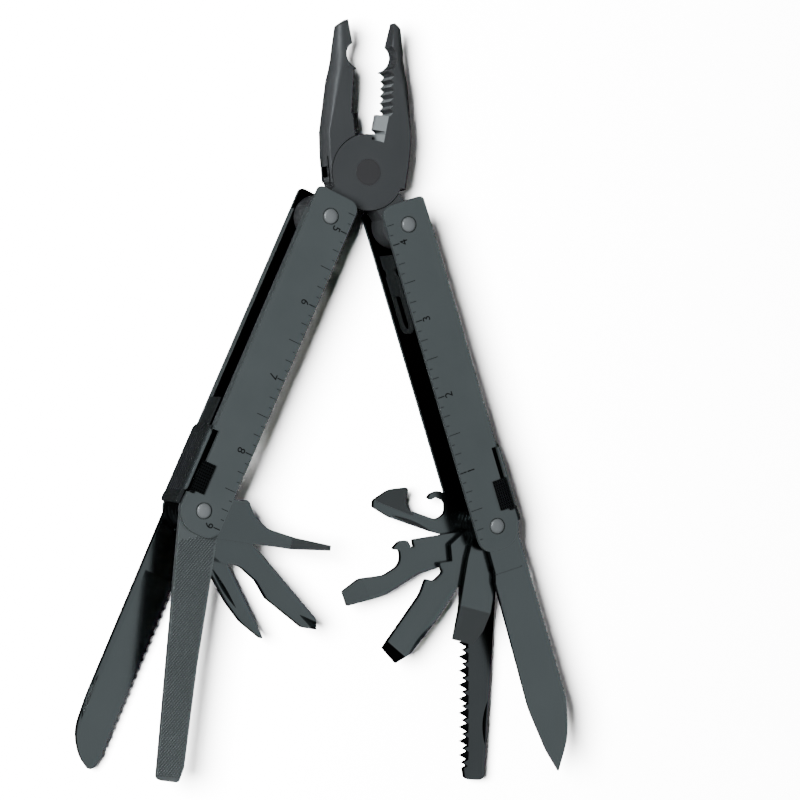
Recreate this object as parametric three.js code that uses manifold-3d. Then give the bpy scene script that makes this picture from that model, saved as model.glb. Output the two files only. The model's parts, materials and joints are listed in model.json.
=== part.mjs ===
// Plier multi tool lying flat, in millimetres with +Z up: back plates on Z = 0, jaws toward +Y.
// Two handles spread in an inverted V below the pliers head, with eleven tools opened out of them.
//
// Handle drawings use s, down the handle from its head rivet, and v, across it: v > 0 is the side
// the tools open on and v < 0 is the side that faces the jaws when the handle is folded.
// Tool drawings use t, from the tool rivet to the tip, and w, toward the tool's spine.

import * as THREE from "three";
import { mergeVertices } from "three/addons/utils/BufferGeometryUtils.js";
import Module from "manifold-3d";

const wasm = await Module();
wasm.setup();

const { degToRad } = THREE.MathUtils;
const GAP = 0.3; // working clearance between neighbouring pieces

// Pliers head
const TANG_REACH = 20.4; // pliers pivot to a head rivet
const FRONT_TANG_ANGLE = 33.8; // degrees each tang stands off the centre line, jaws closed
const BACK_TANG_ANGLE = 29.3;
const FRONT_JAW_TURN = 11.5; // degrees each jaw stands open
const BACK_JAW_TURN = 6.4;
const HEAD_BACK = 4.7; // Z of the head's back and front faces
const HEAD_FRONT = 14.3;
const HEAD_MIDDLE = (HEAD_BACK + HEAD_FRONT) / 2;
const DISC_RADIUS = 12.1; // round lap joint of the two jaws
const BOSS_RADIUS = 7.2; // round end of a pliers tang or of a tool's tang
const JAW_GAP = 0.35; // each jaw's inner face to the centre line

// Handles
const PIN_SPAN = 101; // head rivet to tool rivet
const LEFT_SPREAD = 24.6; // degrees each handle stands off straight down
const RIGHT_SPREAD = 17.7;
const CASE_DEPTH = 19; // outer face to outer face of the two plates
const PLATE_THICKNESS = 1.5;
const PLATE_HALF_WIDTH = 7.5;
const HEAD_END = 7.5; // plate beyond the head rivet
const TOOL_END = 7.5; // plate beyond the tool rivet
const FLANGE_DEPTH = 2.7;
const FLANGE_THICKNESS = 1.2;
const FLANGE_END = 92; // s where the flange stops, clear of the tool tangs

// Rivets
const SHAFT_RADIUS = 2;
const RIVET_HEAD_RADIUS = 2.35;
const RIVET_HEAD_DEPTH = 0.6;
const DOME_HEIGHT = 0.8;
const JAW_SHAFT_RADIUS = 3.7;
const JAW_RIVET_HEAD_RADIUS = 4.7;

// Tool layers, [back, front] in Z
const BACK_LONG = [1.8, 4.2];
const FRONT_LONG = [14.8, 17.2];

const COLOURS = {
  plate: new THREE.MeshStandardMaterial({ color: 0x5b6467, roughness: 0.42, metalness: 0.75 }),
  jaw: new THREE.MeshStandardMaterial({ color: 0x52595c, roughness: 0.48, metalness: 0.7 }),
  blade: new THREE.MeshStandardMaterial({ color: 0x656d70, roughness: 0.4, metalness: 0.75 }),
  rivet: new THREE.MeshStandardMaterial({ color: 0x9aa1a4, roughness: 0.3, metalness: 0.9 }),
  spring: new THREE.MeshStandardMaterial({ color: 0x4c5153, roughness: 0.4, metalness: 0.8 }),
  slider: new THREE.MeshStandardMaterial({ color: 0x1d1f20, roughness: 0.6, metalness: 0.3 }),
};

// Outline through corners [x, y] or [x, y, radius], each round corner as an arc.
function outline(corners) {
  const points = [];
  corners.forEach(([x, y, radius = 0], i) => {
    const corner = new THREE.Vector2(x, y);
    if (!radius) {
      points.push(corner);
      return;
    }
    const before = corners[(i + corners.length - 1) % corners.length];
    const after = corners[(i + 1) % corners.length];
    const back = new THREE.Vector2(before[0] - x, before[1] - y).normalize();
    const on = new THREE.Vector2(after[0] - x, after[1] - y).normalize();
    const half = Math.acos(THREE.MathUtils.clamp(back.dot(on), -1, 1)) / 2;
    const reach = radius / Math.tan(half);
    const start = corner.clone().addScaledVector(back, reach);
    const end = corner.clone().addScaledVector(on, reach);
    const toCentre = back.clone().add(on).normalize().multiplyScalar(radius / Math.sin(half));
    const centre = corner.clone().add(toCentre);
    const from = start.clone().sub(centre).angle();
    let sweep = end.clone().sub(centre).angle() - from;
    if (sweep > Math.PI) sweep -= 2 * Math.PI;
    if (sweep < -Math.PI) sweep += 2 * Math.PI;
    const steps = Math.max(1, Math.ceil(Math.abs(sweep) / degToRad(28)));
    for (let k = 0; k <= steps; k++) {
      const angle = from + (sweep * k) / steps;
      points.push(new THREE.Vector2(Math.cos(angle), Math.sin(angle)).multiplyScalar(radius).add(centre));
    }
  });
  return new THREE.Shape(points);
}

// Solids are manifold-3d bodies made from three.js geometry.
function solid(geometry) {
  const bare = geometry.clone();
  bare.deleteAttribute("normal");
  bare.deleteAttribute("uv");
  const merged = mergeVertices(bare, 1e-4);
  return new wasm.Manifold(
    new wasm.Mesh({
      numProp: 3,
      vertProperties: merged.attributes.position.array,
      triVerts: new Uint32Array(merged.index.array),
    }),
  );
}

function join(...bodies) {
  return bodies.reduce((all, body) => all.add(body));
}

function cut(body, ...tools) {
  return tools.reduce((left, tool) => left.subtract(tool), body);
}

// Flat piece from its corners, between two heights.
function slab(corners, [low, high]) {
  const geometry = new THREE.ExtrudeGeometry(outline(corners), {
    depth: high - low,
    bevelEnabled: false,
    curveSegments: 1,
  });
  return solid(geometry.translate(0, 0, low));
}

function box(x0, x1, y0, y1, z0, z1) {
  const geometry = new THREE.BoxGeometry(Math.abs(x1 - x0), Math.abs(y1 - y0), z1 - z0);
  return solid(geometry.translate((x0 + x1) / 2, (y0 + y1) / 2, (z0 + z1) / 2));
}

// Round body on the Z axis from its [radius, z] profile, moved to (x, y).
function turned(profile, segments = 18, x = 0, y = 0) {
  const points = profile.map(([radius, z]) => new THREE.Vector2(radius, z));
  const geometry = new THREE.LatheGeometry(points, segments);
  return solid(geometry.rotateX(Math.PI / 2).translate(x, y, 0));
}

function disc(radius, [low, high], segments = 18, x = 0, y = 0) {
  const profile = [
    [0, low],
    [radius, low],
    [radius, high],
    [0, high],
  ];
  return turned(profile, segments, x, y);
}

function mesh(name, body, material) {
  const { numProp, vertProperties, triVerts } = body.getMesh();
  const geometry = new THREE.BufferGeometry();
  const positions = new Float32Array((vertProperties.length / numProp) * 3);
  for (let i = 0; i < positions.length / 3; i++) {
    positions.set(vertProperties.subarray(i * numProp, i * numProp + 3), i * 3);
  }
  geometry.setAttribute("position", new THREE.BufferAttribute(positions, 3));
  geometry.setIndex(new THREE.BufferAttribute(new Uint32Array(triVerts), 1));
  const piece = new THREE.Mesh(geometry, material);
  piece.name = name;
  return piece;
}

// Where a head rivet lies, from its tang's angle and how far its jaw stands open in all;
// side +1 is the left handle.
function rivetPlace(side, degrees) {
  const angle = degToRad(degrees);
  return [-side * TANG_REACH * Math.sin(angle), -TANG_REACH * Math.cos(angle)];
}

// ---- Pliers head, drawn with the jaws closed on the Y axis and the jaw at +X ----

const NOSE_STATIONS = [
  // y, end of the flat front face, widest x, half thickness
  [48.2, 1.1, 2.8, 2.0],
  [47.0, 1.4, 3.5, 2.3],
  [40.0, 2.6, 5.6, 3.3],
  [34.4, 3.8, 7.1, 4.6],
  [30.0, 5.7, 8.9, 4.8],
  [24.3, 8.1, 10.4, 4.8],
  [14.2, 11.9, 12.9, 4.8],
  [6.4, 12.7, 13.9, 4.8],
  [-1.2, 13.0, 14.4, 4.8],
];
const FRONT_LEAN = -0.04; // slope added to the outer side about the height LEAN_Y
const BACK_LEAN = 0.04;
const LEAN_Y = 24;
const TEETH = 6;
const TOOTH_PITCH = 2.3;
const TEETH_TOP = [1.2, 32.8]; // inner face at the top and the foot of the toothed stretch
const TEETH_FOOT = [3.6, 19.0];
const TOOTH_DEPTH = 1.1;
const CUTTER_TOP = 18.6;
const CUTTER_FOOT = 10.4;
const CUTTER_BEVEL = 1.9; // how far the cutter's edges fall back at the two faces
const NECK_AT_PIVOT = 0.6; // tang width, as a share of its boss, in line with the two pins
const NECK_AT_BOSS = 0.85;

// Body through cross-sections that run from the inner face round the rounded outer side.
function jawNose(lean) {
  const ARC_STEPS = 8;
  const rings = NOSE_STATIONS.map(([y, flat, wide, half]) => {
    const ring = [[JAW_GAP, y, HEAD_MIDDLE - half], [JAW_GAP, y, HEAD_MIDDLE + half]];
    for (let k = 0; k <= ARC_STEPS; k++) {
      const angle = Math.PI / 2 - (Math.PI * k) / ARC_STEPS;
      const x = flat + (wide - flat) * Math.cos(angle) + lean * (y - LEAN_Y);
      ring.push([x, y, HEAD_MIDDLE + half * Math.sin(angle)]);
    }
    return ring;
  });
  const size = rings[0].length;
  const index = [];
  for (let i = 0; i + 1 < rings.length; i++) {
    for (let k = 0; k < size; k++) {
      const a = i * size + k;
      const b = i * size + ((k + 1) % size);
      index.push(a, b, b + size, a, b + size, a + size);
    }
  }
  const last = (rings.length - 1) * size;
  for (let k = 1; k + 1 < size; k++) {
    index.push(0, k + 1, k, last, last + k, last + k + 1);
  }
  const geometry = new THREE.BufferGeometry();
  geometry.setAttribute("position", new THREE.Float32BufferAttribute(rings.flat(2), 3));
  geometry.setIndex(index);
  const body = solid(geometry);
  return body.volume() > 0 ? body : solid(flipped(geometry));
}

function flipped(geometry) {
  const index = geometry.index.array;
  for (let i = 0; i < index.length; i += 3) {
    [index[i + 1], index[i + 2]] = [index[i + 2], index[i + 1]];
  }
  return geometry;
}

// What is cut out of the jaw's inner face: pipe notch, teeth and room for the cutter.
function jawCuts() {
  const all = [HEAD_BACK - 1, HEAD_FRONT + 1];
  const notch = disc(4.3, all, 28, -1.4, 37.2);
  const teeth = [[-1, TEETH_TOP[1]]];
  for (let k = 0; k < TEETH; k++) {
    const line = (n) => TEETH_TOP[0] + ((TEETH_FOOT[0] - TEETH_TOP[0]) * n) / TEETH;
    const y = TEETH_TOP[1] - TOOTH_PITCH * k;
    teeth.push([line(k), y]);
    teeth.push([line(k + 0.35) + TOOTH_DEPTH, y - TOOTH_PITCH * 0.35, 0.4]);
    teeth.push([line(k + 0.65) + TOOTH_DEPTH, y - TOOTH_PITCH * 0.65, 0.4]);
  }
  teeth.push(TEETH_FOOT, [-1, TEETH_FOOT[1]]);
  const bevels = [HEAD_BACK, HEAD_FRONT].map((face) => {
    const away = face === HEAD_BACK ? -1 : 1;
    const wedge = new THREE.Shape([
      new THREE.Vector2(-1, HEAD_MIDDLE + away * 0.4),
      new THREE.Vector2(JAW_GAP, HEAD_MIDDLE + away * 0.4),
      new THREE.Vector2(JAW_GAP + CUTTER_BEVEL, face + away * 0.01),
      new THREE.Vector2(JAW_GAP + CUTTER_BEVEL, face + away),
      new THREE.Vector2(-1, face + away),
    ]);
    const length = CUTTER_TOP - CUTTER_FOOT;
    const geometry = new THREE.ExtrudeGeometry(wedge, { depth: length, bevelEnabled: false });
    geometry.rotateX(Math.PI / 2);
    return solid(geometry.translate(0, CUTTER_TOP, 0));
  });
  return [notch, slab(teeth, all), ...bevels];
}

// One half of the head. lap is the half thickness that carries the round lap joint.
function headHalf(lapInFront, tangAngle, lean) {
  const front = [HEAD_MIDDLE + GAP / 2, HEAD_FRONT];
  const back = [HEAD_BACK, HEAD_MIDDLE - GAP / 2];
  const lap = lapInFront ? front : back;
  const other = lapInFront ? back : front;
  const room = [other[0] - (lapInFront ? 1 : GAP), other[1] + (lapInFront ? GAP : 1)];
  const angle = degToRad(tangAngle);
  const x = -TANG_REACH * Math.sin(angle);
  const y = -TANG_REACH * Math.cos(angle);
  const across = [BOSS_RADIUS * Math.cos(angle), -BOSS_RADIUS * Math.sin(angle)];
  const whole = [HEAD_BACK, HEAD_FRONT];
  const neck = [
    [across[0] * NECK_AT_PIVOT, across[1] * NECK_AT_PIVOT],
    [x + across[0] * NECK_AT_BOSS, y + across[1] * NECK_AT_BOSS],
    [x - across[0] * NECK_AT_BOSS, y - across[1] * NECK_AT_BOSS],
    [-across[0] * NECK_AT_PIVOT, -across[1] * NECK_AT_PIVOT],
  ];
  const full = cut(
    join(jawNose(lean), slab(neck, whole), disc(BOSS_RADIUS, whole, 24, x, y)),
    disc(DISC_RADIUS + GAP, room, 40),
  );
  return cut(
    join(full, disc(DISC_RADIUS, lap, 40)),
    ...jawCuts(),
    disc(JAW_SHAFT_RADIUS + GAP, [0, CASE_DEPTH], 28),
    disc(JAW_RIVET_HEAD_RADIUS + GAP, [HEAD_FRONT - 1.5, CASE_DEPTH], 32),
    disc(JAW_RIVET_HEAD_RADIUS + GAP, [0, HEAD_BACK + 1.5], 32),
    disc(SHAFT_RADIUS + GAP, [0, CASE_DEPTH], 20, x, y),
  );
}

function jawRivet() {
  const headDepth = 1.2;
  return turned(
    [
      [0, HEAD_BACK],
      [JAW_RIVET_HEAD_RADIUS, HEAD_BACK],
      [JAW_RIVET_HEAD_RADIUS, HEAD_BACK + headDepth],
      [JAW_SHAFT_RADIUS, HEAD_BACK + headDepth],
      [JAW_SHAFT_RADIUS, HEAD_FRONT - headDepth],
      [JAW_RIVET_HEAD_RADIUS, HEAD_FRONT - headDepth],
      [JAW_RIVET_HEAD_RADIUS, HEAD_FRONT],
      [0, HEAD_FRONT],
    ],
    32,
  );
}

// ---- Handles, drawn straight down from the head rivet; side +1 is the left handle ----

const SLOT = { start: 76.5, end: 97.6, inner: 5.6, floor: 17.5 };
const PAD = { start: 86.8, end: 96.6, inner: 2.4, outer: 7.2, top: 20.1 };
const GROOVE = { first: 0.7, pitch: 1.4, width: 0.6, depth: 0.35 }; // grip grooves of a slider
const LOCK_SPRING = { start: 71, end: 102, inner: 7.8, thickness: 1.2, low: 1.9, high: 17.1 };
const LEAF_V = 6.4; // head spring's inner face
const LEAF_THICKNESS = 0.8;
const WASHER_RADIUS = 5;

// Corners given as [s, v] or [s, v, radius], turned into the handle's own x and y.
function onHandle(side, corners) {
  return corners.map(([s, v, radius]) => [side * v, -s, radius]);
}

function handleBox(side, s, v, z) {
  return box(side * v[0], side * v[1], -s[0], -s[1], z[0], z[1]);
}

// Hole for a rivet: a bore with a counterbore in the outer face.
function rivetHole(s, inFront) {
  const depth = RIVET_HEAD_DEPTH + GAP;
  const recess = inFront ? [CASE_DEPTH - depth, CASE_DEPTH + 1] : [-1, depth];
  return join(
    disc(SHAFT_RADIUS + GAP, [-1, CASE_DEPTH + 1], 18, 0, -s),
    disc(RIVET_HEAD_RADIUS + GAP, recess, 18, 0, -s),
  );
}

function plate(side, inFront) {
  const outer = inFront ? CASE_DEPTH : 0;
  const inner = inFront ? CASE_DEPTH - PLATE_THICKNESS : PLATE_THICKNESS;
  const levels = [Math.min(outer, inner), Math.max(outer, inner)];
  const half = PLATE_HALF_WIDTH;
  const face = slab(
    onHandle(side, [
      [-HEAD_END, -half, 1.5],
      [PIN_SPAN + TOOL_END, -half, 7.4],
      [PIN_SPAN + TOOL_END, half, 4.5],
      [-HEAD_END, half, 3.5],
    ]),
    levels,
  );
  const flangeLevels = inFront ? [inner - FLANGE_DEPTH, inner + 0.1] : [inner - 0.1, inner + FLANGE_DEPTH];
  const flange = handleBox(side, [0, FLANGE_END], [-half, -half + FLANGE_THICKNESS], flangeLevels);
  const body = cut(join(face, flange), rivetHole(0, inFront), rivetHole(PIN_SPAN, inFront));
  if (!inFront) return body;
  const slot = handleBox(
    side,
    [SLOT.start, SLOT.end],
    [-half - 1, -SLOT.inner],
    [SLOT.floor, CASE_DEPTH + 1],
  );
  return cut(body, slot);
}

function rivet(s) {
  const shaftTop = CASE_DEPTH - RIVET_HEAD_DEPTH;
  const profile = [
    [0, 0],
    [RIVET_HEAD_RADIUS, 0],
    [RIVET_HEAD_RADIUS, RIVET_HEAD_DEPTH],
    [SHAFT_RADIUS, RIVET_HEAD_DEPTH],
    [SHAFT_RADIUS, shaftTop],
    [RIVET_HEAD_RADIUS, shaftTop],
    [RIVET_HEAD_RADIUS, CASE_DEPTH + 0.1],
  ];
  const DOME_STEPS = 3;
  for (let k = 1; k <= DOME_STEPS; k++) {
    const angle = (k * Math.PI) / (2 * DOME_STEPS);
    profile.push([
      k === DOME_STEPS ? 0 : RIVET_HEAD_RADIUS * Math.cos(angle),
      CASE_DEPTH + 0.1 + (DOME_HEIGHT - 0.1) * Math.sin(angle),
    ]);
  }
  return turned(profile, 18, 0, -s);
}

// Spring plate on the jaw side whose fingers bear on the tool tangs; the fingers part at slots.
function lockSpring(side) {
  const { start, end, inner, thickness, low, high } = LOCK_SPRING;
  const outer = inner + thickness;
  const blank = handleBox(side, [start, end], [-outer, -inner], [low, high]);
  const fingers = 7;
  const pitch = (high - low) / fingers;
  const slots = [];
  for (let k = 1; k < fingers; k++) {
    const z = low + pitch * k;
    slots.push(handleBox(side, [77.5, end - 3], [-outer - 1, -outer + 0.45], [z - 0.3, z + 0.3]));
  }
  const eye = new THREE.CylinderGeometry(1.5, 1.5, 6, 16).rotateZ(Math.PI / 2);
  eye.scale(1, 1.5, 1).translate(-side * inner, -74, HEAD_MIDDLE + 3);
  return cut(blank, solid(eye), ...slots);
}

// Pin in the lock spring's eye.
function springPin(side) {
  const pin = new THREE.CylinderGeometry(0.9, 0.9, 2, 16).rotateZ(Math.PI / 2);
  return solid(pin.translate(-side * (LOCK_SPRING.inner + 0.3), -74, HEAD_MIDDLE + 3));
}

function headSpring(side, length) {
  const levels = [HEAD_BACK + 0.1, HEAD_FRONT - 0.1];
  const leaf = handleBox(side, [8, 8 + length], [LEAF_V, LEAF_V + LEAF_THICKNESS], levels);
  const slot = [
    handleBox(side, [10, 4 + length], [LEAF_V - 1, LEAF_V + 2], [levels[0] + 2.4, levels[0] + 3.2]),
    handleBox(side, [10, 4 + length], [LEAF_V - 1, LEAF_V + 2], [levels[1] - 3.2, levels[1] - 2.4]),
  ];
  return cut(leaf, ...slot);
}

function washer([low, high]) {
  return cut(disc(WASHER_RADIUS, [low, high]), disc(SHAFT_RADIUS + GAP, [0, CASE_DEPTH]));
}

function releaseSlider(side) {
  const top = [CASE_DEPTH + GAP, PAD.top];
  const pad = handleBox(side, [PAD.start, PAD.end], [-PAD.outer, -PAD.inner], top);
  const stem = handleBox(
    side,
    [PAD.start, PAD.end],
    [-PAD.outer, -SLOT.inner - GAP],
    [SLOT.floor + GAP, CASE_DEPTH + GAP + 0.1],
  );
  const grooves = [];
  const across = [-PAD.outer - 1, -PAD.inner + 1];
  const deep = [PAD.top - GROOVE.depth, PAD.top + 1];
  for (let s = PAD.start + GROOVE.first; s < PAD.end; s += GROOVE.pitch) {
    grooves.push(handleBox(side, [s, s + GROOVE.width], across, deep));
  }
  return cut(join(pad, stem), ...grooves);
}

// ---- Tools, drawn straight down from the tool rivet ----

const BORE = SHAFT_RADIUS + GAP;

// Flat tool from its corners [t, w] or [t, w, radius], with the round tang and the rivet bore.
function tool(side, corners, levels) {
  const drawn = corners.map(([t, w, radius]) => [-side * w, -t, radius]);
  return cut(
    join(slab(drawn, levels), disc(BOSS_RADIUS, levels, 24)),
    disc(BORE, [levels[0] - 1, levels[1] + 1]),
  );
}

function serratedBlade(side, levels) {
  const edge = [];
  for (let t = 80.5; t > 26; t -= 4) {
    edge.push([t, -5.7], [t - 1.2, -4.9], [t - 2.8, -4.9]);
  }
  return tool(
    side,
    [
      [0, 7], [58, 6.5], [78.4, 6.6, 15], [87.4, -5.3, 1.2], [82.6, -5.6], ...edge,
      [24, -5.7], [20, -4.6, 1], [0, -5.5],
    ],
    levels,
  );
}

function knifeBlade(side, levels) {
  return tool(
    side,
    [
      [0, 7], [62, 6.9, 25], [73.5, 3.5, 25], [82.5, -2.5, 0.8], [75, -4.8, 20], [60, -6.6, 30],
      [17.7, -5.3, 0.6], [15, -4.5, 0.6], [0, -4.2],
    ],
    levels,
  );
}

function metalFile(side, levels) {
  return tool(
    side,
    [[0, 7], [84.3, 4.9, 1.6], [84.6, -2.4, 1.2], [79.8, -3.6, 1], [48, -4.1], [13, -5.8, 2], [0, -6]],
    levels,
  );
}

function woodSaw(side, levels) {
  const TEETH_START = 37;
  const TEETH_END = 79;
  const SAW_PITCH = 4.4;
  const line = (t) => -3.4 + ((t - 40) * 2.3) / 38; // tooth tips run nearer the spine at the tip
  const teeth = [];
  for (let t = TEETH_END; t > TEETH_START; t -= SAW_PITCH) {
    teeth.push([t, line(t) + 2.4], [t - 1.1, line(t)], [t - 1.9, line(t) + 2.4]);
    teeth.push([t - 3.0, line(t) + 0.9], [t - 3.9, line(t) + 2.4]);
  }
  return tool(
    side,
    [
      [0, 7.1], [83.1, 7.2, 2], [82.7, 0.7, 0.6], [80, 0.8], ...teeth,
      [30, -4.6, 2], [12, -5.4, 4], [0, -6],
    ],
    levels,
  );
}

function woodChisel(side, levels) {
  return tool(
    side,
    [
      [0, 6.5], [6, 3.4, 2], [14, 2.6, 1.5], [15.4, 4.8, 1], [20.5, 6.4, 4], [27.5, 7.1, 6],
      [33.7, 6.3, 3], [38.7, 4.0], [38.6, -3.4], [30, -3.6, 8], [12, -5.1, 8], [0, -5],
    ],
    levels,
  );
}

function largeScrewdriver(side, levels) {
  return tool(
    side,
    [
      [0, 6.2], [22, 4.7, 6], [34, 5.6, 8], [48.4, 5.6, 2], [54, 3.6], [53.1, -3.0], [32, -4.0, 10],
      [26.9, -5.7, 0.5], [25.3, -3.2, 0.8], [22.1, -2.6, 0.5], [20.2, -5.4, 0.5], [16.8, -2.3, 0.3],
      [13.1, -6.1, 0.6], [0, -3.8],
    ],
    levels,
  );
}

function bottleOpener(side, levels) {
  return tool(
    side,
    [
      [0, 6.4], [21.3, 5.3, 6], [27.8, 4.2, 5], [41, 5.3, 10], [53.9, 2.8, 0.6], [53.4, -2.3, 0.6],
      [46.5, -3.4, 4], [38.5, -0.6, 5], [31.4, -1.2, 4.4], [30.2, -5.6, 0.7], [32.6, -6.9, 0.5],
      [29.2, -8.3, 2.6], [26.5, -7.3, 0.8], [26.3, -4.4, 0.5], [25.1, -4.4, 0.4], [24.8, -6.7, 0.6],
      [9.3, -1.9, 1], [0, -2.4],
    ],
    levels,
  );
}

function canOpener(side, levels) {
  return tool(
    side,
    [
      [0, 6.6], [17.3, 5.0, 8], [32.5, 2.5, 6], [38.1, 0.2, 0.8], [37.2, -2.4, 0.8], [32.4, -6.9, 4],
      [26.2, -8.1, 0.8], [27.4, -2.2, 1.6], [24.2, -0.4, 1.2], [13.8, 0.6, 2.8], [13.8, -5.7, 2.4],
      [19.8, -5.2, 0.4], [20.3, -7.2, 1.2], [13.0, -8.2, 2], [9, -3, 3], [0, -4],
    ],
    levels,
  );
}

function smallScrewdriver(side, levels) {
  return tool(
    side,
    [
      [0, 7], [7.5, 7.1, 3], [33, 4.0, 20], [46, 1.1, 0.3], [45.8, -0.6, 0.3], [33, 0.1, 10],
      [23.5, -0.2, 6], [18, -3.2, 8], [15, -7.2, 1.2], [12.2, -6.4, 1.0], [0, -6.4],
    ],
    levels,
  );
}

function phillipsScrewdriver(side, levels) {
  return tool(
    side,
    [
      [0, 6.8], [17.2, 6.6, 3], [23, 3.0, 4], [30, 2.7, 4], [36.4, 4.5, 2], [51.8, 3.1, 0.6],
      [56, 0.2, 0.3], [52.8, -1.9, 0.8], [21.2, -4.9, 10], [0, -6.6],
    ],
    levels,
  );
}

function reamer(side, levels) {
  return tool(
    side,
    [
      [0, 5.8], [10, 5.2, 5], [22, 4.2, 12], [31, 4.1, 12], [39, 2.9, 12], [48, -0.9, 0.3],
      [42.7, -1.4, 3], [21.6, -1.9, 6], [0, -5.6],
    ],
    levels,
  );
}

// Each tool: its drawing, its layer and how far it stands short of fully open, in degrees.
const LEFT_TOOLS = {
  metal_file: { draw: metalFile, levels: FRONT_LONG, turn: 17.8 },
  small_screwdriver: { draw: smallScrewdriver, levels: [12.0, 14.2], turn: 98.7 },
  phillips_screwdriver: { draw: phillipsScrewdriver, levels: [8.3, 11.7], turn: 71.1 },
  reamer: { draw: reamer, levels: [4.8, 8.0], turn: 52.9 },
  serrated_blade: { draw: serratedBlade, levels: BACK_LONG, turn: 0.6 },
};
const RIGHT_TOOLS = {
  knife_blade: { draw: knifeBlade, levels: FRONT_LONG, turn: 0 },
  wood_chisel: { draw: woodChisel, levels: [12.0, 14.2], turn: 32.9 },
  large_screwdriver: { draw: largeScrewdriver, levels: [9.5, 11.7], turn: 57.9 },
  bottle_opener: { draw: bottleOpener, levels: [7.0, 9.2], turn: 82.9 },
  can_opener: { draw: canOpener, levels: [4.5, 6.7], turn: 117.3 },
  wood_saw: { draw: woodSaw, levels: BACK_LONG, turn: 21.4 },
};

function handle(label, side, tools, leafLength) {
  const group = new THREE.Group();
  const add = (name, body, material) => group.add(mesh(`${label}_${name}`, body, material));
  add("front_plate", plate(side, true), COLOURS.plate);
  add("back_plate", plate(side, false), COLOURS.plate);
  add("head_rivet", rivet(0), COLOURS.rivet);
  add("tool_rivet", rivet(PIN_SPAN), COLOURS.rivet);
  add("lock_spring", lockSpring(side), COLOURS.spring);
  add("spring_pin", springPin(side), COLOURS.rivet);
  add("head_spring", headSpring(side, leafLength), COLOURS.spring);
  add("front_washer", washer([HEAD_FRONT + GAP, CASE_DEPTH - PLATE_THICKNESS - GAP]), COLOURS.rivet);
  add("back_washer", washer([PLATE_THICKNESS + GAP, HEAD_BACK - GAP]), COLOURS.rivet);
  add("release_slider", releaseSlider(side), COLOURS.slider);
  for (const [name, { draw, levels, turn }] of Object.entries(tools)) {
    const piece = mesh(name, draw(side, levels), COLOURS.blade);
    piece.position.set(0, -PIN_SPAN, 0);
    piece.rotation.z = side * degToRad(turn);
    group.add(piece);
  }
  return group;
}

const multiTool = new THREE.Group();

const frontJaw = new THREE.Group();
frontJaw.rotation.z = -degToRad(FRONT_JAW_TURN);
frontJaw.add(mesh("front_jaw", headHalf(true, FRONT_TANG_ANGLE, FRONT_LEAN), COLOURS.jaw));
frontJaw.add(mesh("jaw_rivet", jawRivet(), COLOURS.jaw));
multiTool.add(frontJaw);

const backJaw = new THREE.Group();
backJaw.rotation.z = degToRad(BACK_JAW_TURN);
const mirror = new THREE.Matrix4().makeScale(-1, 1, 1);
const backHalf = headHalf(false, BACK_TANG_ANGLE, BACK_LEAN).transform(mirror.elements);
backJaw.add(mesh("back_jaw", backHalf, COLOURS.jaw));
multiTool.add(backJaw);

const leftHandle = handle("left", 1, LEFT_TOOLS, 12);
leftHandle.position.set(...rivetPlace(1, FRONT_TANG_ANGLE + FRONT_JAW_TURN), 0);
leftHandle.rotation.z = -degToRad(LEFT_SPREAD);
multiTool.add(leftHandle);

const rightHandle = handle("right", -1, RIGHT_TOOLS, 26);
rightHandle.position.set(...rivetPlace(-1, BACK_TANG_ANGLE + BACK_JAW_TURN), 0);
rightHandle.rotation.z = degToRad(RIGHT_SPREAD);
multiTool.add(rightHandle);

// The origin is the middle of the footprint, on the face that the tool lies on.
const bounds = new THREE.Box3().setFromObject(multiTool, true);
const centre = bounds.getCenter(new THREE.Vector3());
multiTool.position.set(-centre.x, -centre.y, -bounds.min.z);

export default multiTool;
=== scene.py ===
import json
import math

import bmesh
import bpy
from mathutils import Matrix, Vector


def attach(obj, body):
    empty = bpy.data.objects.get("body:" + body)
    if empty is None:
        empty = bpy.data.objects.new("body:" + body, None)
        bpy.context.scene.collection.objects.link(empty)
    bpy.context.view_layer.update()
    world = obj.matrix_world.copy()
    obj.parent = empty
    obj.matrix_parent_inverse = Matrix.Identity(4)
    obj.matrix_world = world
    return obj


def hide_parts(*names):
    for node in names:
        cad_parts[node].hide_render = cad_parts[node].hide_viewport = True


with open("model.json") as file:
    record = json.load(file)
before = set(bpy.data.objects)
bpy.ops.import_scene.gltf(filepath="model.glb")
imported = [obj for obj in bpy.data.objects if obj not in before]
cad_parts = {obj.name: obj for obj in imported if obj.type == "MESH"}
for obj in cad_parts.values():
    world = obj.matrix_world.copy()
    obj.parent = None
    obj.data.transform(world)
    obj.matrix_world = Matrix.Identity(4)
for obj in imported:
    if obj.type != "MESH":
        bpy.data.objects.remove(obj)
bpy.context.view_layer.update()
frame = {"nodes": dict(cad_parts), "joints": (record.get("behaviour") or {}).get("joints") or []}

# Drawings are in millimetres. A handle is drawn straight down from its head rivet: s runs down it
# and v across it, toward the side that its tools open on. A tool is drawn straight down from the
# tool rivet: t runs to its tip and w across it, toward its spine.
MM = 0.001
ARC_STEP = math.radians(7)  # round corners are drawn in steps of this angle

# Heights of the piece faces, and sizes shared with the frame
CASE_DEPTH = 19.0
PLATE_THICKNESS = 1.5
HALF_WIDTH = 7.5
PIN_SPAN = 101.0
BOSS_RADIUS = 7.2
FRONT_LONG = (14.8, 17.2)
BACK_LONG = (1.8, 4.2)
HEAD_BACK = 4.7
HEAD_FRONT = 14.3
HEAD_MIDDLE = 9.5
GAP = 0.3  # working clearance
RIVET_SHAFT = 2.0
RIVET_BORE = RIVET_SHAFT + GAP
RIVET_FACE = 2.35


# ---- Outlines and solids ----


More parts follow.
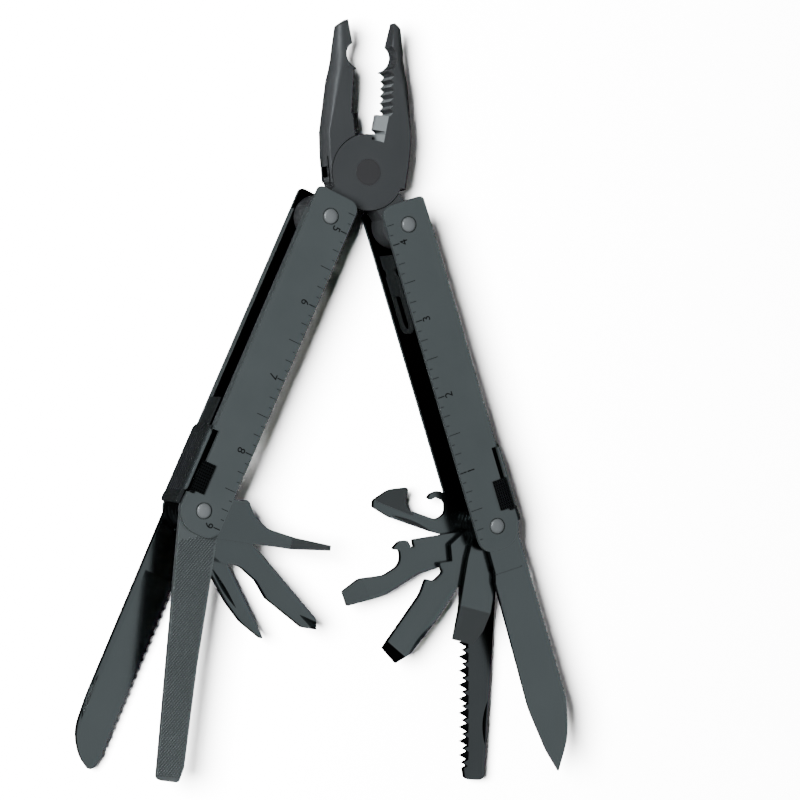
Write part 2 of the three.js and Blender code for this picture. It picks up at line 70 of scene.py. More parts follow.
def outline(corners, step=ARC_STEP):
    """Points round a closed outline of corners (x, y) or (x, y, radius)."""
    points = []
    count = len(corners)
    for i, corner in enumerate(corners):
        here = Vector(corner[:2])
        radius = corner[2] if len(corner) > 2 else 0
        if not radius:
            points.append(here)
            continue
        back = (Vector(corners[i - 1][:2]) - here).normalized()
        on = (Vector(corners[(i + 1) % count][:2]) - here).normalized()
        half = math.acos(max(-1, min(1, back.dot(on)))) / 2
        reach = radius / math.tan(half)
        start, end = here + back * reach, here + on * reach
        centre = here + (back + on).normalized() * (radius / math.sin(half))
        first = math.atan2(start.y - centre.y, start.x - centre.x)
        last = math.atan2(end.y - centre.y, end.x - centre.x)
        sweep = (last - first + math.pi) % (2 * math.pi) - math.pi
        steps = max(1, math.ceil(abs(sweep) / step))
        for k in range(steps + 1):
            angle = first + sweep * k / steps
            points.append(centre + Vector((math.cos(angle), math.sin(angle))) * radius)
    return points


def circle(radius, x=0, y=0, count=48):
    points = []
    for k in range(count):
        angle = 2 * math.pi * k / count
        points.append(Vector((x + radius * math.cos(angle), y + radius * math.sin(angle))))
    return points


def solid(bm):
    bmesh.ops.recalc_face_normals(bm, faces=bm.faces)
    data = bpy.data.meshes.new("solid")
    bm.to_mesh(data)
    bm.free()
    return bpy.data.objects.new("solid", data)


def prism(points, low, high):
    bm = bmesh.new()
    bottom = [bm.verts.new((p[0], p[1], low)) for p in points]
    top = [bm.verts.new((p[0], p[1], high)) for p in points]
    bm.faces.new(bottom)
    bm.faces.new(top)
    for i in range(len(points)):
        k = (i + 1) % len(points)
        bm.faces.new((bottom[i], bottom[k], top[k], top[i]))
    return solid(bm)


def slab(corners, levels):
    return prism(outline(corners), *levels)


def disc(radius, levels, x=0, y=0, count=48):
    return prism(circle(radius, x, y, count), *levels)


def box(xs, ys, zs):
    return prism([(xs[0], ys[0]), (xs[1], ys[0]), (xs[1], ys[1]), (xs[0], ys[1])], *zs)


def loft(rings):
    """Closed solid through rings of equal count, capped at both ends."""
    bm = bmesh.new()
    rows = [[bm.verts.new(p) for p in ring] for ring in rings]
    size = len(rows[0])
    for low, high in zip(rows, rows[1:]):
        for k in range(size):
            on = (k + 1) % size
            bm.faces.new((low[k], low[on], high[on], high[k]))
    bm.faces.new(rows[0])
    bm.faces.new(rows[-1])
    return solid(bm)


def lens(start, end, left, right, steps=14):
    """Points round a lens between two tips, bulging by left and right of the line from start to end."""
    start, end = Vector(start), Vector(end)
    along = (end - start).normalized()
    across = Vector((-along.y, along.x))
    points = []
    for tips, bulge in (((start, end), left), ((end, start), -right)):
        for k in range(steps):
            u = k / steps
            points.append(tips[0].lerp(tips[1], u) + across * bulge * 4 * u * (1 - u))
    return points


def turned(profile, x=0, y=0, count=48):
    """Round solid on the Z axis from (radius, z) points whose ends may lie on the axis."""
    bm = bmesh.new()
    verts = [bm.verts.new((radius, 0, z)) for radius, z in profile]
    edges = [bm.edges.new(pair) for pair in zip(verts, verts[1:])]
    bmesh.ops.spin(
        bm, geom=verts + edges, cent=(0, 0, 0), axis=(0, 0, 1), angle=2 * math.pi,
        steps=count, use_merge=True,
    )
    bmesh.ops.remove_doubles(bm, verts=bm.verts, dist=1e-4)
    bmesh.ops.translate(bm, verts=bm.verts, vec=(x, y, 0))
    return solid(bm)


def settle(obj):
    """Applies the object's modifiers."""
    scene = bpy.context.scene.collection
    scene.objects.link(obj)
    graph = bpy.context.evaluated_depsgraph_get()
    data = bpy.data.meshes.new_from_object(obj.evaluated_get(graph))
    scene.objects.unlink(obj)
    obj.modifiers.clear()
    obj.data = data
    return obj


def combine(body, others, operation):
    scene = bpy.context.scene.collection
    for other in others:
        scene.objects.link(other)
        mod = body.modifiers.new("combine", "BOOLEAN")
        mod.operation = operation
        mod.solver = "MANIFOLD"
        mod.object = other
    settle(body)
    for other in others:
        bpy.data.objects.remove(other)
    return body


def join(body, *others):
    return combine(body, others, "UNION")


def cut(body, *others):
    return combine(body, others, "DIFFERENCE")


def soften(obj, width=0.18, segments=2, angle=32, flat_area=6):
    """Breaks the sharp edges with a small round, and shades the flats flat."""
    bm = bmesh.new()
    bm.from_mesh(obj.data)
    bmesh.ops.remove_doubles(bm, verts=bm.verts, dist=0.004)
    bmesh.ops.dissolve_limit(bm, angle_limit=math.radians(0.6), verts=bm.verts, edges=bm.edges)
    bm.to_mesh(obj.data)
    bm.free()
    mod = obj.modifiers.new("round", "BEVEL")
    mod.width = width
    mod.segments = segments
    mod.limit_method = "ANGLE"
    mod.angle_limit = math.radians(angle)
    mod.use_clamp_overlap = True
    settle(obj)
    return shade(obj, flat_area=flat_area)


def shade(obj, angle=28, flat_area=6):
    """Smooth shading, but for the flats and the edges over an angle."""
    data = obj.data
    data.shade_smooth()
    data.set_sharp_from_angle(angle=math.radians(angle))
    edges = {edge.key: edge for edge in data.edges}
    for face in data.polygons:
        if abs(face.normal.z) > 0.9999 or face.area > flat_area:
            for key in face.edge_keys:
                edges[key].use_edge_sharp = True
    return obj


# ---- Materials ----


class Nodes:
    """Small helper to lay out a material's node tree."""

    def __init__(self, name):
        self.material = bpy.data.materials.new(name)
        self.material.use_nodes = True
        self.tree = self.material.node_tree
        self.shader = self.tree.nodes["Principled BSDF"]

    def add(self, kind, **values):
        node = self.tree.nodes.new(kind)
        for key, value in values.items():
            if key in node.inputs:
                node.inputs[key].default_value = value
            else:
                setattr(node, key, value)
        return node

    def link(self, out, into):
        self.tree.links.new(out, into)


BLOTCH_SCALE = 70.0
GRAIN_SCALE = 5200.0
GRAIN_DEPTH = 0.02 * MM
GRAIN_STRENGTH = 0.06
SHEEN_SPREAD = 0.05  # roughness wanders this far either way


def blackened_steel(name, colour, roughness, metallic=0.9, mottle=0.12):
    """Black oxide steel: fine bead-blast grain under faint blotches of tone and sheen."""
    n = Nodes(name)
    place = n.add("ShaderNodeTexCoord").outputs["Object"]
    blotch = n.add("ShaderNodeTexNoise", Scale=BLOTCH_SCALE, Detail=3.0)
    n.link(place, blotch.inputs["Vector"])
    tone = n.add("ShaderNodeMapRange")
    tone.inputs["To Min"].default_value = 1 - mottle
    tone.inputs["To Max"].default_value = 1 + mottle
    n.link(blotch.outputs["Fac"], tone.inputs["Value"])
    tint = n.add("ShaderNodeMix", data_type="RGBA", blend_type="MULTIPLY")
    tint.inputs["Factor"].default_value = 1.0
    tint.inputs["A"].default_value = (*colour, 1)
    n.link(tone.outputs["Result"], tint.inputs["B"])
    n.link(tint.outputs["Result"], n.shader.inputs["Base Color"])
    n.shader.inputs["Metallic"].default_value = metallic

    rough = n.add("ShaderNodeMapRange")
    rough.inputs["To Min"].default_value = roughness - SHEEN_SPREAD
    rough.inputs["To Max"].default_value = roughness + SHEEN_SPREAD
    n.link(blotch.outputs["Fac"], rough.inputs["Value"])
    n.link(rough.outputs["Result"], n.shader.inputs["Roughness"])

    grain = n.add("ShaderNodeTexNoise", Scale=GRAIN_SCALE, Detail=2.0)
    n.link(place, grain.inputs["Vector"])
    bump = n.add("ShaderNodeBump", Strength=GRAIN_STRENGTH, Distance=GRAIN_DEPTH)
    n.link(grain.outputs["Fac"], bump.inputs["Height"])
    n.link(bump.outputs["Normal"], n.shader.inputs["Normal"])
    return n.material


PLATE = blackened_steel("plate_black_oxide", (0.038, 0.0448, 0.0465), 0.38)
JAW = blackened_steel("jaw_black_oxide", (0.030, 0.0325, 0.0345), 0.46)
PIVOT = blackened_steel("pivot_black_oxide", (0.0255, 0.0258, 0.0275), 0.48)
# lighter, less metallic copy of the jaw steel: a painted highlight on the lit tooth flanks and the cutter
PAINTED_HIGHLIGHT_STEEL = blackened_steel("painted_highlight_steel", (0.022, 0.0245, 0.0255), 0.45, metallic=0.4)
BLADE = blackened_steel("blade_black_oxide", (0.134, 0.156, 0.160), 0.17, metallic=1.0, mottle=0.08)
FILE = blackened_steel("file_black_oxide", (0.043, 0.050, 0.0515), 0.30)
SAW = blackened_steel("saw_black_oxide", (0.084, 0.095, 0.099), 0.17, metallic=1.0)
# darker steel for the tilted tool bevels and the file teeth's lower flanks: painted shade
PAINTED_SHADE_STEEL = blackened_steel("painted_shade_steel", (0.024, 0.027, 0.028), 0.34)
SPRING = blackened_steel("spring_black_oxide", (0.011, 0.013, 0.0135), 0.42)
RIVET = blackened_steel("rivet_steel", (0.085, 0.093, 0.097), 0.40, mottle=0.05)
# near black for spots in shade: the channel's inner faces, the wire slot, the washers, the large driver's
# tip and the saw tooth bevels; painted shade
PAINTED_SHADE_BLACK = blackened_steel("painted_shade_black", (0.004, 0.0045, 0.005), 0.5, metallic=1.0)
SLIDER = blackened_steel("knurl_black", (0.014, 0.016, 0.017), 0.32, metallic=1.0)
MARK = blackened_steel("engraved_mark", (0.004, 0.005, 0.005), 0.7, metallic=1.0)


def finish_piece(obj, name, placing, material, body, node=None, second=None, where=None):
    """Names the piece, moves its mesh into place and rides it on its body.

    A second material goes on the faces for which where(centre, normal) holds in the drawing.
    """
    obj.name = name
    obj.data.name = name
    obj.data.materials.clear()
    obj.data.materials.append(material)
    if second:
        obj.data.materials.append(second)
    for face in obj.data.polygons:
        face.material_index = 1 if second and where(face.center, face.normal) else 0
    obj.data.transform(placing)
    bpy.context.scene.collection.objects.link(obj)
    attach(obj, body)
    if node:
        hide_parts(node)
    return obj


# ---- Where the drawings go ----

joints = {joint["name"]: joint for joint in frame["joints"]}


def pin(name):
    return Vector(joints[name]["pos_m"])


def drawing_frame(head, tool):
    down = tool - head
    angle = math.atan2(down.x, -down.y)
    at = Matrix.Translation((head.x, head.y, 0))
    return at @ Matrix.Rotation(angle, 4, "Z") @ Matrix.Scale(MM, 4)


def head_frame(turn):
    pivot = pin("jaw_close")
    at = Matrix.Translation((pivot.x, pivot.y, 0))
    return at @ Matrix.Rotation(math.radians(turn), 4, "Z") @ Matrix.Scale(MM, 4)


def tool_frame(handle, side, joint):
    turn = -joints[joint]["range_deg"][0] if "range_deg" in joints[joint] else 0
    at = Matrix.Translation((0, -PIN_SPAN, 0))
    return handle @ at @ Matrix.Rotation(side * math.radians(turn), 4, "Z")


HANDLES = {
    "left": (1, drawing_frame(pin("left_fold"), pin("file_fold"))),
    "right": (-1, drawing_frame(pin("right_fold"), pin("knife_fold"))),
}

# ---- Pliers head ----

FRONT_TANG = 33.8  # degrees each tang stands off the centre line
BACK_TANG = 29.3
FRONT_TURN = 11.5  # degrees each jaw stands open
BACK_TURN = 6.4
TANG_REACH = 20.4  # pliers pivot to a head rivet
NECK_SHARES = (0.6, 0.7)  # half widths of the neck at its two ends, in boss radii
DISC_RADIUS = 12.1
JAW_GAP = 0.35  # half the gap between the shut jaws
NOSE_STATIONS = [
    # y, end of the flat front face, widest x, half thickness
    (48.9, 0.9, 2.8, 2.0),
    (47.4, 1.1, 3.4, 2.3),
    (40.0, 1.9, 5.6, 3.5),
    (36.5, 2.6, 6.5, 4.1),
    (33.4, 4.2, 7.5, 4.6),
    (30.0, 5.7, 8.9, 4.8),
    (24.3, 8.1, 10.4, 4.8),
    (14.2, 11.9, 12.9, 4.8),
    (6.4, 12.7, 13.9, 4.8),
]
FRONT_FOOT = (-2.6, 13.0, 14.4, 4.8)  # the last station differs between the jaws
BACK_FOOT = (-1.9, 13.0, 14.4, 4.8)
BACK_LEAN = 0.04  # the back jaw leans inward toward its tip, from this height up
LEAN_Y = 24
PIPE_NOTCH = (4.3, -1.4, 37.2)  # radius, x and y
NOSE_TIP = [(7, 45.2), (3.7, 47.2, 1.0), (-1, 49.6), (7, 50)]
STRIPPER = [(-1, 14.2), (3.2, 13.9, 0.4), (3.2, 12.9, 0.4), (-1, 12.6)]
TEETH = 6
TOOTH_PITCH = 2.3
TEETH_TOP = (1.2, 32.8)
TEETH_FOOT = (3.6, 19.0)
TOOTH_DEPTH = 1.1
TOOTH_ROOTS = (0.3, 0.45)  # where the flat of a tooth gap starts and ends, in its pitch
TOOTH_RUN_OUT = 2.8  # depth of the smooth strip in front of the back jaw's teeth
BACK_TEETH_INSET = 1.1  # the back jaw is wider over its teeth
CUTTER_TOP = 19.1
CUTTER_FOOT = 10.4
CUTTER_SLOPE = 2.9  # how far the cutter's wedge is cut back at the faces
CUTTER_EDGE = 1.0  # half the width of its edge
RIVET_HEAD = 4.1
JAW_BORE = 3.9
JAW_RIVET_SHAFT = 3.7
JAW_RIVET_BACK = 4.7
JAW_RIVET_STEP = 1.2  # depth of the pivot rivet's heads
WIRE_SLOT = ((12.0, 15), (-0.3, 3.2), (8.4, 13.0))  # x, y and z


def jaw_nose(lean, foot):
    """Tapering nose with one flat side and a rounded outer one, down to its foot station."""
    steps = 20
    rings = []
    for y, flat, wide, half in (*NOSE_STATIONS, foot):
        ring = [(JAW_GAP, y, HEAD_MIDDLE - half), (JAW_GAP, y, HEAD_MIDDLE + half)]
        for k in range(steps + 1):
            angle = math.pi / 2 - math.pi * k / steps
            x = flat + (wide - flat) * math.cos(angle) + lean * (y - LEAN_Y)
            ring.append((x, y, HEAD_MIDDLE + half * math.sin(angle)))
        rings.append(ring)
    return loft(rings)


def tooth_line(n):
    return TEETH_TOP[0] + (TEETH_FOOT[0] - TEETH_TOP[0]) * n / TEETH


def jaw_cuts(is_back):
    """Cutters for the pipe notch, the teeth, the slanted tip, the wire stripper and the wire cutter."""
    whole = (HEAD_BACK - 1, HEAD_FRONT + 1)
    inset = BACK_TEETH_INSET if is_back else 0
    teeth = [(-1, TEETH_TOP[1])]
    for k in range(TEETH):
        y = TEETH_TOP[1] - TOOTH_PITCH * k
        teeth.append((tooth_line(k) - inset, y))
        for share in TOOTH_ROOTS:
            teeth.append((tooth_line(k + share) + TOOTH_DEPTH - inset, y - TOOTH_PITCH * share, 0.3))
    teeth += [(TEETH_FOOT[0] - inset, TEETH_FOOT[1]), (-1, TEETH_FOOT[1])]
    radius, *centre = PIPE_NOTCH
    cuts = [disc(radius, whole, *centre)]
    cuts += [slab(corners, whole) for corners in (teeth, NOSE_TIP, STRIPPER)]
    for face, away in ((HEAD_BACK, -1), (HEAD_FRONT, 1)):
        edge = HEAD_MIDDLE + away * CUTTER_EDGE
        wall = JAW_GAP + CUTTER_SLOPE
        wedge = [(-1, edge), (JAW_GAP, edge), (wall, face), (wall, face + away), (-1, face + away)]
        rings = [[(x, y, z) for x, z in wedge] for y in (CUTTER_TOP, CUTTER_FOOT)]
        cuts.append(loft(rings))
    if is_back:
        # the teeth of this jaw run out below its front face
        root = TOOTH_DEPTH + 0.1 - inset
        rings = []
        for n in (0, TEETH):
            y = TEETH_TOP[1] + (TEETH_FOOT[1] - TEETH_TOP[1]) * n / TEETH
            x = tooth_line(n)
            low = HEAD_FRONT - TOOTH_RUN_OUT
            section = [(x + root, HEAD_FRONT), (x - 0.1 - inset, low), (-1, low)]
            section += [(-1, HEAD_FRONT + 1), (x + root, HEAD_FRONT + 1)]
            rings.append([(at, y, z) for at, z in section])
        cuts.append(loft(rings))
        # slot for hard wire, in the outer side near the handle
        cuts.append(box(*WIRE_SLOT))
    return cuts


def head_half(lap_in_front, tang, lean):
    """One forging of the pliers: nose, lapped pivot disc, and tang with its rivet boss."""
    front = (HEAD_MIDDLE + GAP / 2, HEAD_FRONT)
    back = (HEAD_BACK, HEAD_MIDDLE - GAP / 2)
    lap, other = (front, back) if lap_in_front else (back, front)
    room = (other[0] - (1 if lap_in_front else GAP), other[1] + (GAP if lap_in_front else 1))
    angle = math.radians(tang)
    x, y = -TANG_REACH * math.sin(angle), -TANG_REACH * math.cos(angle)
    across = Vector((BOSS_RADIUS * math.cos(angle), -BOSS_RADIUS * math.sin(angle)))
    boss = Vector((x, y))
    near, far = (across * share for share in NECK_SHARES)
    neck = [near, boss + far, boss - far, -near]
    whole = (HEAD_BACK, HEAD_FRONT)
    nose = jaw_nose(lean, FRONT_FOOT if lap_in_front else BACK_FOOT)
    body = join(nose, prism(neck, *whole), disc(BOSS_RADIUS, whole, x, y))
    body = cut(body, disc(DISC_RADIUS + GAP, room, count=96))
    body = join(body, disc(DISC_RADIUS, lap, count=96))
    return cut(
        body,
        *jaw_cuts(not lap_in_front),
        disc(JAW_BORE, (0, CASE_DEPTH)),
        disc(RIVET_HEAD + 0.06, (HEAD_FRONT - JAW_RIVET_STEP - GAP, CASE_DEPTH)),
        disc(JAW_RIVET_BACK + GAP, (0, HEAD_BACK + JAW_RIVET_STEP + GAP)),
        disc(RIVET_BORE, (0, CASE_DEPTH), x, y),
    )


def lit_ridge(centre, normal):
    """Faces of a jaw that get a painted highlight: the upper flanks of its teeth, and its wire cutter."""
    if CUTTER_FOOT - 0.2 < centre.y < CUTTER_TOP + 0.2:
        return centre.x < 4.2 and normal.x < -0.5
    return TEETH_FOOT[1] < centre.y < TEETH_TOP[1] + 1 and normal.x < -0.4 and normal.y > 0.3


# faces inside the back jaw's wire slot, which are painted black as shade
def in_wire_slot(centre, normal):
    spot = (-centre.x, centre.y, centre.z)
    return all(low - 0.05 < value < high + 0.05 for value, (low, high) in zip(spot, WIRE_SLOT))


def place_head():
    front = soften(head_half(True, FRONT_TANG, 0), 0.2, flat_area=25)
    at = head_frame(-FRONT_TURN)
    # the front jaw's tooth flanks and cutter carry the painted highlight
    finish_piece(front, "front_jaw_forging", at, JAW, "front_jaw", "front_jaw", PAINTED_HIGHLIGHT_STEEL, lit_ridge)

    back = head_half(False, BACK_TANG, BACK_LEAN)
    back.data.transform(Matrix.Scale(-1, 4, (1, 0, 0)))
    back.data.flip_normals()
    soften(back, 0.2, flat_area=25)
    at_back = head_frame(BACK_TURN)
    # the back jaw's wire slot is painted black as shade
    finish_piece(back, "back_jaw_forging", at_back, JAW, "back_jaw", "back_jaw", PAINTED_SHADE_BLACK, in_wire_slot)

    low, high = HEAD_BACK + JAW_RIVET_STEP, HEAD_FRONT - JAW_RIVET_STEP
    top = HEAD_FRONT - 0.02
    profile = [
        (0, HEAD_BACK), (JAW_RIVET_BACK, HEAD_BACK), (JAW_RIVET_BACK, low), (JAW_RIVET_SHAFT, low),
        (JAW_RIVET_SHAFT, high), (RIVET_HEAD, high), (RIVET_HEAD, top - 0.03),
        (RIVET_HEAD - 0.05, top), (0, top),
    ]
    rivet = turned(profile, count=72)
    shade(rivet, 25)
    finish_piece(rivet, "jaw_pivot_rivet", at, PIVOT, "front_jaw", "jaw_rivet")


# ---- Handles ----

SLOT_S = (76.5, 97.6)  # the release slider's slot, open at the plate's edge
SLOT_V = 5.6
FLANGE_V = (-7.5, -6.3)
FLANGE_END = 92
FLANGE_DEPTH = 2.7  # how far a flange reaches into the channel
RIVET_RING = (2.65, 0.9)  # radius and depth of the recess round a rivet's face
RIVET_SHOULDER = 0.6
RIVET_RIM = 0.1  # a rivet's face stands this far proud below its dome
RIVET_DOME = 0.7
LOCK_PIN_S = 76.2
LOCK_PIN_Z = HEAD_MIDDLE + 1
LEAF_START = 8  # where the head spring's leaf begins
LEAF_LENGTH = {"left": 12, "right": 26}

# Ruler: where each inch mark lies down the handle, with its number
INCH = 25.4
RULER = {
    "left": [(2.8, "5"), (28.2, "6"), (53.6, "7"), (79.0, "8"), (104.4, "9")],
    "right": [(4.8, "4"), (30.2, "3"), (55.6, "2"), (81.0, "1")],
}
RULER_SPAN = (-4, 104.5)
RULER_EDGE = 7.22  # v where the ticks end
TICKS = {0: 2.3, 2: 2.3, 4: 3.9, 6: 2.3}  # length by eighths past the inch
SHORT_TICK = 1.1
TICK_HALF = 0.09
INCH_TICK_HALF = 0.15
DIGIT_FOOT = 2.1  # v of a digit's foot
DIGIT_SIZE = 3.7
DIGIT_HALF = 0.055  # half the thickness of a digit
INLAY_PROUD = 0.012  # the marks stand this far over the plate


def strip(side, s, v, z):
    return box((side * v[0], side * v[1]), (-s[0], -s[1]), z)


def plate(side, front):
    outer = CASE_DEPTH if front else 0
    inner = CASE_DEPTH - PLATE_THICKNESS if front else PLATE_THICKNESS
    half, end = HALF_WIDTH, PIN_SPAN + HALF_WIDTH
    corners = [(-half, -half, 1.5), (end, -half, 7.4), (end, half, 4.5), (-half, half, 3.5)]
    face = slab([(side * v, -s, r) for s, v, r in corners], sorted((outer, inner)))
    reach = (inner - FLANGE_DEPTH, inner + 0.1) if front else (inner - 0.1, inner + FLANGE_DEPTH)
    flange = strip(side, (0, FLANGE_END), FLANGE_V, reach)
    ring, deep = RIVET_RING
    recess_z = (CASE_DEPTH - deep, CASE_DEPTH + 1) if front else (-1, deep)
    holes = []
    for s in (0, PIN_SPAN):
        holes.append(disc(RIVET_BORE, (-1, CASE_DEPTH + 1), 0, -s))
        holes.append(disc(ring, recess_z, 0, -s))
    if front:
        holes.append(strip(side, SLOT_S, (-9, -SLOT_V), (inner, CASE_DEPTH + 1)))
    return soften(cut(join(face, flange), *holes), 0.28, 3)


def rivet_body(s):
    """Through rivet with a flush back face and a domed front one."""
    top = CASE_DEPTH + RIVET_RIM
    low, high = RIVET_SHOULDER, CASE_DEPTH - RIVET_SHOULDER
    profile = [(0, 0), (RIVET_FACE, 0), (RIVET_FACE, low), (RIVET_SHAFT, low)]
    profile += [(RIVET_SHAFT, high), (RIVET_FACE, high), (RIVET_FACE, top)]
    steps = 8
    for k in range(1, steps + 1):
        angle = k * math.pi / 2 / steps
        radius = 0 if k == steps else RIVET_FACE * math.cos(angle)
        profile.append((radius, top + RIVET_DOME * math.sin(angle)))
    return shade(turned(profile, 0, -s), 40)


def merge(bodies):
    """One object from several closed ones, without a boolean."""
    bm = bmesh.new()
    for body in bodies:
        bm.from_mesh(body.data)
        bpy.data.objects.remove(body)
    return solid(bm)


def ruler_marks(label, side):
    """Ticks each eighth of an inch along the plate's ruler edge, as fine dark inlays."""
    inlay = (CASE_DEPTH - 0.1, CASE_DEPTH + INLAY_PROUD)
    start = RULER[label][0][0]
    marks = []
    for k in range(-8, 40):
        s = start + INCH * k / 8
        if not RULER_SPAN[0] <= s <= RULER_SPAN[1]:
            continue
        length = TICKS.get(k % 8, SHORT_TICK)
        half = INCH_TICK_HALF if k % 8 == 0 else TICK_HALF
        marks.append(strip(side, (s - half, s + half), (RULER_EDGE - length, RULER_EDGE), inlay))
    return merge(marks)


def numeral(side, s, text):
    curve = bpy.data.curves.new("numeral", "FONT")
    curve.body = text
    curve.size = DIGIT_SIZE
    curve.align_x = "CENTER"
    curve.extrude = DIGIT_HALF
    curve.resolution_u = 6
    body = bpy.data.objects.new("numeral", curve)
    scene = bpy.context.scene.collection
    scene.objects.link(body)
    graph = bpy.context.evaluated_depsgraph_get()
    data = bpy.data.meshes.new_from_object(body.evaluated_get(graph))
    bpy.data.objects.remove(body)
    # the digit's top points to the ruler edge
    foot = Matrix.Translation((side * DIGIT_FOOT, -s, CASE_DEPTH + INLAY_PROUD - DIGIT_HALF))
    data.transform(foot @ Matrix.Rotation(-side * math.pi / 2, 4, "Z"))
    return bpy.data.objects.new("numeral", data)


def edgewise(side, points, v):
    """Prism across the handle: points in (s, z), between two v."""
    return loft([[(side * at, -p[0], p[1]) for p in points] for at in v])


def lock_spring(side):
    """Ribbed thumb plate of the lock, with its narrow neck and oval eye."""
    low, high = 1.9, 17.1
    inner, neck, outer, lip = -7.8, -8.3, -9, -9.3
    neck_end, pad_start, foot = 66.0, 77.0, 102.0
    sheet = [(neck_end, inner), (neck_end, neck), (pad_start - 2, neck), (pad_start, outer)]
    sheet += [(foot - 3, outer), (foot - 2, lip, 0.6), (foot, outer, 0.8), (foot, inner)]
    blank = slab([(side * v, -s, *rest) for s, v, *rest in sheet], (low, high))
    ribs = 8
    groove_half, groove_floor = 0.32, -8.55
    slots = []
    for k in range(1, ribs):
        z = low + (high - low) / ribs * k
        groove_z = (z - groove_half, z + groove_half)
        slots.append(strip(side, (pad_start + 1.5, foot - 4), (-10, groove_floor), groove_z))
    for beside_neck in ((low - 1, low + 2.6), (high - 3.4, high + 1)):
        slots.append(strip(side, (neck_end - 1, pad_start - 1.4), (-10, -6), beside_neck))
    eye = [(LOCK_PIN_S + 1.7 * p.y, LOCK_PIN_Z + 1.2 * p.x) for p in circle(1, 0, 0, 32)]
    return soften(cut(blank, edgewise(side, eye, (-10, -6)), *slots), 0.16)


def slot_edge(side):
    """Edge of the flange beside the slider's slot, with rounded ends."""
    start, end = SLOT_S[0] + 0.2, SLOT_S[1] - 0.3
    foot, top, corner = 14.5, 18.6, 1.2
    points = outline([(start, foot), (end, foot), (end, top, corner), (start, top, corner)])
    return soften(edgewise(side, points, (-8.5, -7.7)), 0.16)


def spring_pin(side):
    """Pin through the eye of the lock spring, with a chamfered end."""
    rings = []
    for v, radius in ((-7.1, 0.8), (-8.3, 0.8), (-8.45, 0.6)):
        rings.append([(side * v, -LOCK_PIN_S + p.y, LOCK_PIN_Z + p.x) for p in circle(radius, 0, 0, 32)])
    return shade(loft(rings), 40)


def head_spring(side, length):
    """Leaf that bears on the pliers tang, with a long slit near its rounded end."""
    low, high = HEAD_BACK + 0.1, HEAD_FRONT - 0.1
    start, end = LEAF_START, LEAF_START + length
    sheet = outline([(start, low), (end, low, 2.6), (end, high, 2.6), (start, high)])
    leaf = edgewise(side, sheet, (6.4, 7.2))
    slit_start, slit_end, rim = end - length * 0.48, end - 1.4, 2
    slit = [(slit_start, low + rim, 1), (slit_end, low + rim, 2.4)]
    slit += [(slit_end, high - rim, 2.4), (slit_start, high - rim, 1)]
    openings = [outline(slit)]
    for edge in (low, high):
        openings.append([(start + p.x, edge + p.y) for p in circle(1.3, length * 0.22, 0, 24)])
    return soften(cut(leaf, *(edgewise(side, points, (5, 9)) for points in openings)), 0.15)


def slider(side):
    """Release slider: a pad with rows of small pyramids, a hook in the slot and a stub at its end."""
    s0, s1, inner, outer = 86.8, 96.6, 2.4, 7.2
    base, top = 19.7, 20.08
    under = CASE_DEPTH + GAP
    pad = join(
        strip(side, (s0, s1), (-outer, -inner), (under, base + 0.05)),
        strip(side, (s0, s1), (-outer, -SLOT_V - GAP), (17.8, 19.5)),
        strip(side, (s1 - 0.5, s1 + 0.9), (-6.9, -5.5), (under, 19.6)),
    )
    soften(pad, 0.2)
    studs = []
    rows, columns = 10, 6
    s_rim, v_rim = 0.6, 0.5
    half, tip = 0.4, 0.25
    ring = [Vector(p) for p in ((half, 0), (0, half), (-half, 0), (0, -half))]
    for r in range(rows):
        for c in range(columns):
            s = s0 + s_rim + (s1 - s0 - 2 * s_rim) * r / (rows - 1)
            v = inner + v_rim + (outer - inner - 2 * v_rim) * c / (columns - 1)
            low = [(side * -v + p.x, -s + p.y, base) for p in ring]
            high = [(side * -v + p.x * tip, -s + p.y * tip, top) for p in ring]
            studs.append(loft([low, high]))
    return merge([pad, *studs])


def inside(centre, normal):
    """Faces of a plate that look into the channel, painted near black as shade."""
    face = PLATE_THICKNESS - 0.05
    between = face < centre.z < CASE_DEPTH - face
    return between and (abs(centre.x) < HALF_WIDTH - 0.2 or abs(normal.z) > 0.9)


def place_handle(label):
    side, at = HANDLES[label]
    body = f"{label}_handle"

    def add(obj, suffix, material, part=None, on=body, second=None, where=None):
        node = f"{label}_{part}" if part else None
        finish_piece(obj, f"{label}_{suffix}", at, material, on, node, second, where)

    # the plates' faces in the channel are painted black as shade
    for end in ("front", "back"):
        add(plate(side, end == "front"), f"{end}_plate_sheet", PLATE, f"{end}_plate", body, PAINTED_SHADE_BLACK, inside)
    head_body = "left_tang_rivet" if label == "left" else body
    add(rivet_body(0), "head_rivet_domed", RIVET, "head_rivet", head_body)
    add(rivet_body(PIN_SPAN), "tool_rivet_domed", RIVET, "tool_rivet")
    add(lock_spring(side), "lock_spring_ribbed", SPRING, "lock_spring")
    add(spring_pin(side), "spring_pin_round", SPRING, "spring_pin")
    add(slot_edge(side), "slot_edge", PLATE)
    add(head_spring(side, LEAF_LENGTH[label]), "head_spring_leaf", SPRING, "head_spring")
    add(ruler_marks(label, side), "ruler_marks", MARK)
    for s, text in RULER[label]:
        add(numeral(side, s, text), f"ruler_{text}", MARK)
    add(slider(side), "release_knurled", SLIDER, "release_slider", f"{label}_release")
    # the washers in the channel are painted black as shade
    for end in ("front", "back"):
        washer = frame["nodes"][f"{label}_{end}_washer"]
        washer.data.materials.clear()
        washer.data.materials.append(PAINTED_SHADE_BLACK)


# ---- Tools ----


def flat_tool(side, corners, levels):
    drawn = [(-side * w, -t, *rest) for t, w, *rest in corners]
    body = join(slab(drawn, levels), disc(BOSS_RADIUS, levels))
    return cut(body, disc(RIVET_BORE, (levels[0] - 1, levels[1] + 1)))


